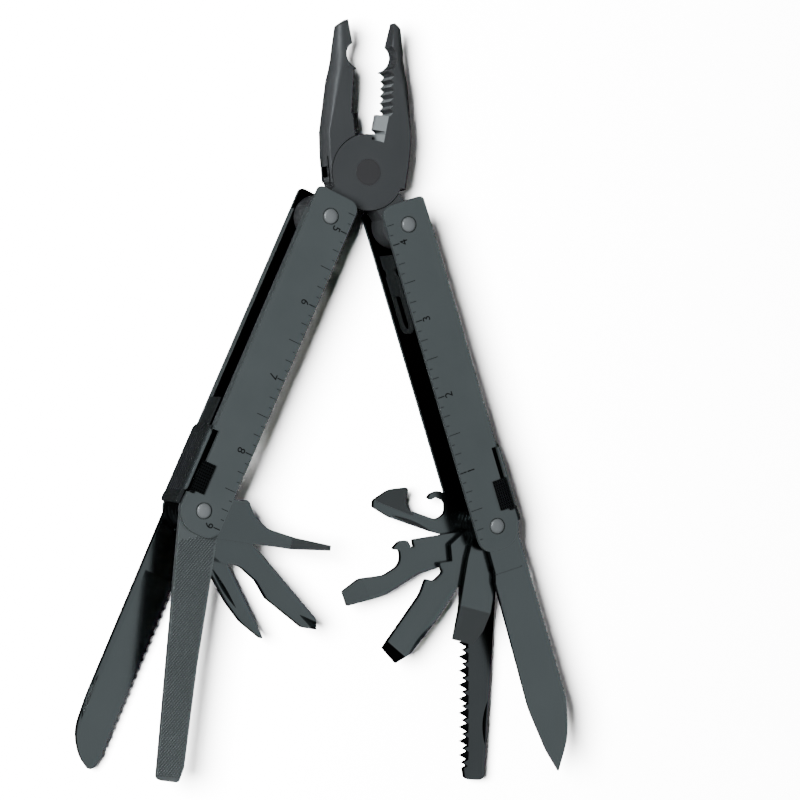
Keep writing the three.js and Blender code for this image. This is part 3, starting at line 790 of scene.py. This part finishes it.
def wedges(side, levels, ends):
    """Cutters that thin the front and the back face between two ends (t, w, depth, w, depth)."""
    cutters = []
    for face, away in ((levels[1], 1), (levels[0], -1)):
        rings = []
        for t, w0, depth0, w1, depth1 in ends:
            x0, x1 = -side * w0, -side * w1
            low0, low1 = face - away * depth0, face - away * depth1
            rings.append([(x0, -t, low0), (x1, -t, low1), (x1, -t, face + away), (x0, -t, face + away)])
        cutters.append(loft(rings))
    return cutters


def recess(side, start, end, bulges, top, depth):
    """Lens-shaped cutter in the top face between two (t, w) tips, deepest under its larger bulge."""
    tips = [Vector((-side * w, -t)) for t, w in (start, end)]
    points = lens(*tips, *bulges)
    along = (tips[1] - tips[0]).normalized()
    across = Vector((-along.y, along.x)) * (1 if bulges[0] > bulges[1] else -1)
    offsets = [(point - tips[0]).dot(across) for point in points]
    least, most = min(offsets), max(offsets)
    floor = []
    for point, offset in zip(points, offsets):
        floor.append((*point, top - 0.05 - depth * (offset - least) / (most - least)))
    return loft([floor, [(*point, top + 1) for point in points]])


FILE_ROW = 0.64
FILE_COLUMN = 0.96
FILE_TOOTH = 0.2  # height
FILE_TIP = 0.25  # share of a tooth's width that is left at its top
FILE_SPAN = (8.4, 83.4)


def file_borders(t):
    """Edges of the field of teeth across the file, which narrows down its length."""
    near = -5.5 + (t - 13) * 0.0486
    far = -3.8 + (t - 48) * 0.0157
    return min(near, far), 6.6 - 0.025 * t


def file_teeth(side, top):
    """Rows of small pyramids, the upstanding diamonds of a cross-cut file."""
    half = FILE_COLUMN / 2
    studs = []
    for r in range(int((FILE_SPAN[1] - FILE_SPAN[0]) / FILE_ROW)):
        t = FILE_SPAN[0] + FILE_ROW * r
        edge, spine = file_borders(t)
        for c in range(int((spine - edge) / FILE_COLUMN) + 1):
            w = spine - FILE_COLUMN * (c + 0.5 * (r % 2))
            start = 9.9 + (w - 6.5) * 0.28  # the field starts on a slant
            if w < edge + half or t < start:
                continue
            x, y = -side * w, -t
            foot = [(x + half, y), (x, y + FILE_ROW), (x - half, y), (x, y - FILE_ROW)]
            tip = [(x + (px - x) * FILE_TIP, y + (py - y) * FILE_TIP) for px, py in foot]
            rings = [[(*p, top - 0.05) for p in foot], [(*p, top + FILE_TOOTH) for p in tip]]
            studs.append(loft(rings))
    return studs


def serrated_edge():
    """Scallops between small teeth, along the straight part of the edge."""
    start, end, w = 81, 26, -5.6
    pitch, depth, corner = 2.9, 0.55, 0.9
    edge = []
    t = start
    while t > end:
        edge.append((t, w))
        edge += [(t - pitch * share, w + depth, corner) for share in (0.3, 0.7)]
        t -= pitch
    return edge


SAW_PITCH = 4.56
SAW_FIRST = 76.55
SAW_LAST = 37.0
SAW_DEPTH = 2.6
SAW_SHORT = 0.9  # the short teeth end this far above the long ones
SAW_LONG_WIDTH = 2.5
# a long tooth and a short one: distance from the pair's start, height over the line of long tips
SAW_PAIR = ((0, SAW_DEPTH), (1.25, 0), (SAW_LONG_WIDTH, SAW_DEPTH), (3.5, SAW_SHORT), (4.46, SAW_DEPTH))
SAW_BEVEL = 2.0  # how deep the front of a long tooth is ground at its tip


def saw_line(t):
    return -3.7 + (t - 43.4) * 0.066


def saw_steps():
    count = math.ceil((SAW_FIRST - SAW_LAST) / SAW_PITCH)
    return [SAW_FIRST - SAW_PITCH * k for k in range(count)]


def saw_teeth():
    """A short tooth at the tip, then pairs of a long one and a short one."""
    tip = saw_line(SAW_FIRST)
    teeth = [(SAW_FIRST + 2.1, tip + SAW_DEPTH), (SAW_FIRST + 1.1, tip + SAW_SHORT)]
    for t in saw_steps():
        tip = saw_line(t)
        teeth += [(t - along, tip + height) for along, height in SAW_PAIR]
    return teeth


# handle, joint, back and front face, and the corners (t, w, radius) of the outline
TOOLS = {
    "serrated_blade": ("left", "serrated_fold", BACK_LONG, [
        (0, 7), (66, 7, 20), (78, 6.2, 16), (84.5, 1.2, 12), (87, -3, 1.2), (85.5, -4.5, 1),
        (82.6, -5.1), *serrated_edge(),
        (24, -5.7), (20, -4.6, 1), (0, -5.5),
    ]),
    "metal_file": ("left", "file_fold", (FRONT_LONG[0], FRONT_LONG[1] - 0.2), [
        (0, 7), (84.3, 4.9, 1.6), (84.6, -2.4, 1.2), (79.8, -3.6, 1), (48, -4.1), (13, -5.8, 2), (0, -6),
    ]),
    "small_screwdriver": ("left", "small_driver_fold", (12.0, 14.2), [
        (0, 7), (7.5, 7.1, 3), (33, 4.0, 20), (46, 1.1, 0.3), (45.8, -0.6, 0.3), (33, 0.1, 10),
        (23.5, -0.2, 6), (18, -3.2, 8), (15, -7.2, 1.2), (12.2, -6.4, 1.0), (0, -6.4),
    ]),
    "phillips_screwdriver": ("left", "phillips_fold", (8.3, 11.7), [
        (0, 6.8), (17.2, 6.6, 3), (23, 3.0, 4), (30, 2.7, 4), (36.4, 4.5, 2), (51.8, 3.1, 0.6),
        (56, 0.2, 0.3), (52.8, -1.9, 0.8), (21.2, -4.9, 10), (0, -6.6),
    ]),
    "reamer": ("left", "reamer_fold", (4.8, 8.0), [
        (0, 5.8), (10, 5.2, 5), (22, 4.2, 12), (31, 4.1, 12), (39, 2.9, 12), (48, -0.9, 0.3),
        (42.7, -1.4, 3), (21.6, -1.9, 6), (0, -5.6),
    ]),
    "knife_blade": ("right", "knife_fold", FRONT_LONG, [
        (0, 7), (62, 6.9, 25), (73.9, 3.7, 25), (83.3, -2.7, 0.2), (75, -4.9, 20), (60, -6.6, 30),
        (17.7, -5.3, 0.6), (15, -4.5, 0.6), (0, -4.2),
    ]),
    "wood_chisel": ("right", "chisel_fold", (12.0, 14.2), [
        (0, 6.5), (6, 3.4, 2), (14, 2.6, 1.5), (15.4, 4.8, 1), (20.5, 6.4, 4), (27.5, 7.1, 6),
        (33.7, 6.3, 3), (38.7, 4.0), (38.6, -3.4), (30, -3.6, 8), (12, -5.1, 8), (0, -5),
    ]),
    "large_screwdriver": ("right", "large_driver_fold", (9.5, 11.7), [
        (0, 6.2), (22, 4.7, 6), (34, 5.6, 8), (48.4, 5.6, 2), (54, 3.6), (53.1, -3.0), (32, -4.0, 10),
        (26.9, -5.7, 0.5), (25.6, -3.0, 1.6), (21.6, -2.4, 1.2), (20.2, -5.4, 0.5), (16.8, -2.3, 0.3),
        (13.1, -6.1, 0.6), (0, -3.8),
    ]),
    "bottle_opener": ("right", "bottle_opener_fold", (7.0, 9.2), [
        (0, 6.4), (21.3, 5.3, 6), (27.8, 4.2, 5), (41, 5.3, 10), (53.9, 2.8, 0.6), (53.4, -2.3, 0.6),
        (46.5, -3.4, 4), (38.5, -0.6, 5), (31.4, -1.2, 4.4), (30.2, -5.6, 0.7), (32.6, -6.9, 0.5),
        (29.2, -8.3, 2.6), (26.5, -7.3, 0.8), (26.3, -4.4, 0.5), (25.1, -4.4, 0.4), (24.8, -6.7, 0.6),
        (9.3, -1.9, 1), (0, -2.4),
    ]),
    "can_opener": ("right", "can_opener_fold", (4.5, 6.7), [
        (0, 6.6), (17.3, 5.0, 8), (32.5, 2.5, 6), (38.5, 0.2, 0.8), (38.6, -2.0, 1.2), (33.8, -6.3, 8),
        (27.0, -8.0, 0.8), (27.6, -3.0, 2.4), (25.5, -0.6, 1.5), (16.0, 0.9, 2.6), (13.4, -1.6, 2.2),
        (14.0, -5.6, 2.2), (17.6, -6.2, 1.6), (19.0, -5.1, 0.4), (20.3, -5.5, 0.4), (19.6, -7.0, 1.2),
        (17.0, -8.4, 1.6), (13.0, -7.6, 2.5), (9, -3, 3), (0, -4),
    ]),
    "wood_saw": ("right", "saw_fold", BACK_LONG, [
        (0, 7.1), (83.1, 7.2, 2), (83, 1.2, 0.8), (82.2, 0.3, 0.4), (79.4, -0.3, 0.3), *saw_teeth(),
        (30, -4.6, 2), (12, -5.4, 4), (0, -6),
    ]),
}


def phillips_flutes(side, levels):
    """Vee cutters that part the tip's front and back face into two points."""
    flutes = []
    for face, away in ((levels[1], 1), (levels[0], -1)):
        rings = []
        for t, w, half, depth in ((48.2, 0.9, 0.1, 0.05), (57, -0.4, 1.9, 1.7)):
            x = -side * w
            section = [(x - half, face + away), (x - half, face), (x, face - away * depth)]
            section += [(x + half, face), (x + half, face + away)]
            rings.append([(at, -t, z) for at, z in section])
        flutes.append(loft(rings))
    return flutes


def saw_bevels(side, levels):
    """Cutters that slope the front face of each long tooth."""
    cutters = []
    for t in saw_steps():
        tip = saw_line(t)
        spots = (t - SAW_LONG_WIDTH, t)
        ends = [(at, tip + SAW_DEPTH, 0.05, tip - 0.6, SAW_BEVEL) for at in spots]
        cutters.append(wedges(side, levels, ends)[0])
    return cutters


def details(node, side, levels):
    """Cutters for the bevels, grooves and nail nicks of a tool, placed as wedges and recess say."""
    top = levels[1]
    if node == "serrated_blade":
        bevels = wedges(side, levels, [(23, 5.4, 0, -7, 0.95), (90, 5.4, 0, -7, 0.95)])
        return [*bevels, recess(side, (58.4, 6.3), (73.6, 5.9), (0.25, 1.1), top, 0.7)]
    if node == "knife_blade":
        bevels = wedges(side, levels, [(15.2, 7.5, 0.16, -7.5, 0.24), (90, 7.5, 0.16, -7.5, 1.15)])
        kick = [(14.8, -5.5), (15.1, 5.0), (15.45, 5.0), (15.15, -5.5)]  # fine groove where they start
        return [*bevels, slab([(-side * w, -t) for t, w in kick], (top - 0.5, top + 1))]
    if node == "small_screwdriver":
        return wedges(side, levels, [(32.4, 8, 0.02, -4, 0.02), (47, 8, 0.72, -4, 0.72)])
    if node == "wood_chisel":
        return wedges(side, levels, [(27.5, 8, 0.02, -6, 0.02), (39, 8, 0.9, -6, 0.9)])
    if node == "large_screwdriver":
        tapers = wedges(side, levels, [(50.5, 8, 0.02, -6, 0.02), (54.5, 8, 0.5, -6, 0.5)])
        return [*tapers, recess(side, (36.2, 5.6), (49.3, 5.3), (0.1, 1.0), top, 0.6)]
    if node == "bottle_opener":
        return wedges(side, levels, [(46, 8, 0.02, -6, 0.02), (54.5, 8, 0.55, -6, 0.55)])
    if node == "can_opener":
        slope = wedges(side, levels, [(24.5, 0.9, 0.1, -9, 1.0), (38, -1.9, 0.1, -9, 0.9)])[0]
        return [slope, recess(side, (31.6, 1.8), (17.7, 4.8), (0.8, 0.3), top, 0.9)]
    if node == "wood_saw":
        return [recess(side, (57.4, 6.7), (71.8, 6.8), (-0.2, 1.4), top, 0.7), *saw_bevels(side, levels)]
    if node == "reamer":
        return [recess(side, (19.0, 3.3), (34.2, 2.3), (0.5, 0.75), top, 0.9)]
    if node == "phillips_screwdriver":
        return phillips_flutes(side, levels)
    return []


def tilted(start):
    """Bevelled faces past a distance down the tool, which are painted darker as shade."""
    def test(centre, normal):
        return -centre.y > start and 0.3 < abs(normal.z) < 0.9999
    return test


def lower_flanks(top):
    """Sides of the file teeth that look toward the tip, painted darker as shade."""
    def test(centre, normal):
        return centre.z > top + 0.02 and normal.y < -0.2
    return test


TOOL_STEEL = {"metal_file": FILE, "wood_saw": SAW}  # the others are BLADE
BEVEL_SHADE = {  # distance down the tool where the ground bevels start, and the dark material painted on them as shade
    "small_screwdriver": (32.3, PAINTED_SHADE_STEEL),
    "wood_chisel": (27.4, PAINTED_SHADE_STEEL),
    "large_screwdriver": (50.5, PAINTED_SHADE_BLACK),
    "can_opener": (24.4, PAINTED_SHADE_STEEL),
    "wood_saw": (SAW_LAST - 3, PAINTED_SHADE_BLACK),
}


def place_tools():
    for node, (label, joint, levels, corners) in TOOLS.items():
        side, handle = HANDLES[label]
        body = flat_tool(side, corners, levels)
        cutters = details(node, side, levels)
        if cutters:
            cut(body, *cutters)
        soften(body, 0.05 if node == "wood_saw" else 0.1)
        second = where = None
        # the listed bevels are painted darker as shade
        if node in BEVEL_SHADE:
            start, second = BEVEL_SHADE[node]
            where = tilted(start)
        elif node == "metal_file":
            body = merge([body, *file_teeth(side, levels[1])])
            # the file teeth's lower flanks are painted darker as shade
            second, where = PAINTED_SHADE_STEEL, lower_flanks(levels[1])
        at = tool_frame(handle, side, joint)
        finish_piece(body, f"{node}_piece", at, TOOL_STEEL.get(node, BLADE), node, node, second, where)


# ---- Stage ----

FLOOR_SIZE = 6
FLOOR_GAP = 0.0002
BANK = Vector((0.42, -0.22, 0.88)).normalized()  # direction of the soft bank overhead
BANK_STOPS = (  # cosine of the angle from the bank's middle, colour
    (0.3, (0.012, 0.012, 0.012, 1)),
    (0.72, (0.10, 0.102, 0.105, 1)),
    (0.90, (0.36, 0.37, 0.375, 1)),
    (1.0, (0.66, 0.67, 0.68, 1)),
)
LAMPS = (  # name, place, width, power, shown in reflections
    ("key", (-0.93, 0.15, 1.1), 0.7, 510, False),
    ("fill_left", (-1.1, -0.5, 0.9), 0.7, 5, False),
    ("fill_right", (1.3, -0.2, 0.8), 0.9, 4, False),
    ("glint", (-0.9, 0.45, 0.75), 0.3, 12, True),
)
LAMPS_AIM = Vector((0, -0.03, 0))


def place_floor():
    bpy.ops.mesh.primitive_plane_add(size=FLOOR_SIZE, location=(0, 0, 0))
    floor = bpy.context.object
    floor.name = "floor"
    floor.location.z = -FLOOR_GAP
    paper = Nodes("paper_white")
    paper.shader.inputs["Roughness"].default_value = 0.9
    paper.shader.inputs["Base Color"].default_value = (0.93, 0.93, 0.93, 1)
    floor.data.materials.append(paper.material)
    floor.visible_glossy = False


def place_world():
    """Black studio with one soft bank overhead, a little to the right, for the reflections alone."""
    world = bpy.data.worlds.new("studio")
    world.use_nodes = True
    tree = world.node_tree
    place = tree.nodes.new("ShaderNodeTexCoord")
    toward = tree.nodes.new("ShaderNodeVectorMath")
    toward.operation = "DOT_PRODUCT"
    toward.inputs[1].default_value = BANK
    tree.links.new(place.outputs["Generated"], toward.inputs[0])
    fall = tree.nodes.new("ShaderNodeValToRGB")
    stops = fall.color_ramp.elements
    first, *between, last = BANK_STOPS
    stops[0].position, stops[0].color = first
    stops[1].position, stops[1].color = last
    for position, colour in between:
        stops.new(position).color = colour
    tree.links.new(toward.outputs["Value"], fall.inputs["Fac"])
    background = tree.nodes["Background"]
    tree.links.new(fall.outputs["Color"], background.inputs["Color"])
    background.inputs["Strength"].default_value = 1.0
    bpy.context.scene.world = world
    world.cycles_visibility.diffuse = False


def place_lamps():
    for name, spot, size, power, shown in LAMPS:
        lamp = bpy.data.lights.new(name, "AREA")
        lamp.shape = "DISK"
        lamp.size = size
        lamp.energy = power
        body = bpy.data.objects.new(name, lamp)
        body.location = spot
        body.visible_glossy = shown
        body.rotation_euler = (LAMPS_AIM - Vector(spot)).to_track_quat("-Z", "Y").to_euler()
        bpy.context.scene.collection.objects.link(body)


CAMERA_DISTANCE = 1.0936
CAMERA_LENS = 153.9
CAMERA_TARGET = Vector((12.71, -72.30, 0)) * MM  # from the pliers pivot
CAMERA_LEFT = math.radians(22)  # it looks from the left
CAMERA_TILT = math.radians(-0.78)


def place_camera():
    target = pin("jaw_close") + CAMERA_TARGET
    target.z = HEAD_MIDDLE * MM
    flat = math.cos(CAMERA_TILT)
    toward = Vector((-math.sin(CAMERA_LEFT) * flat, -math.sin(CAMERA_TILT), math.cos(CAMERA_LEFT) * flat))
    camera = bpy.data.cameras.new("camera")
    camera.lens = CAMERA_LENS
    camera.sensor_width = 36
    camera.clip_start = 0.05
    body = bpy.data.objects.new("camera", camera)
    forward = -toward
    right = forward.cross(Vector((0, 1, 0))).normalized()
    up = right.cross(forward).normalized()
    turn = Matrix((right, up, toward)).transposed().to_4x4()
    body.matrix_world = Matrix.Translation(target + toward * CAMERA_DISTANCE) @ turn
    bpy.context.scene.collection.objects.link(body)
    bpy.context.scene.camera = body


place_head()
place_handle("left")
place_handle("right")
place_tools()
place_floor()
place_world()
place_lamps()
place_camera()
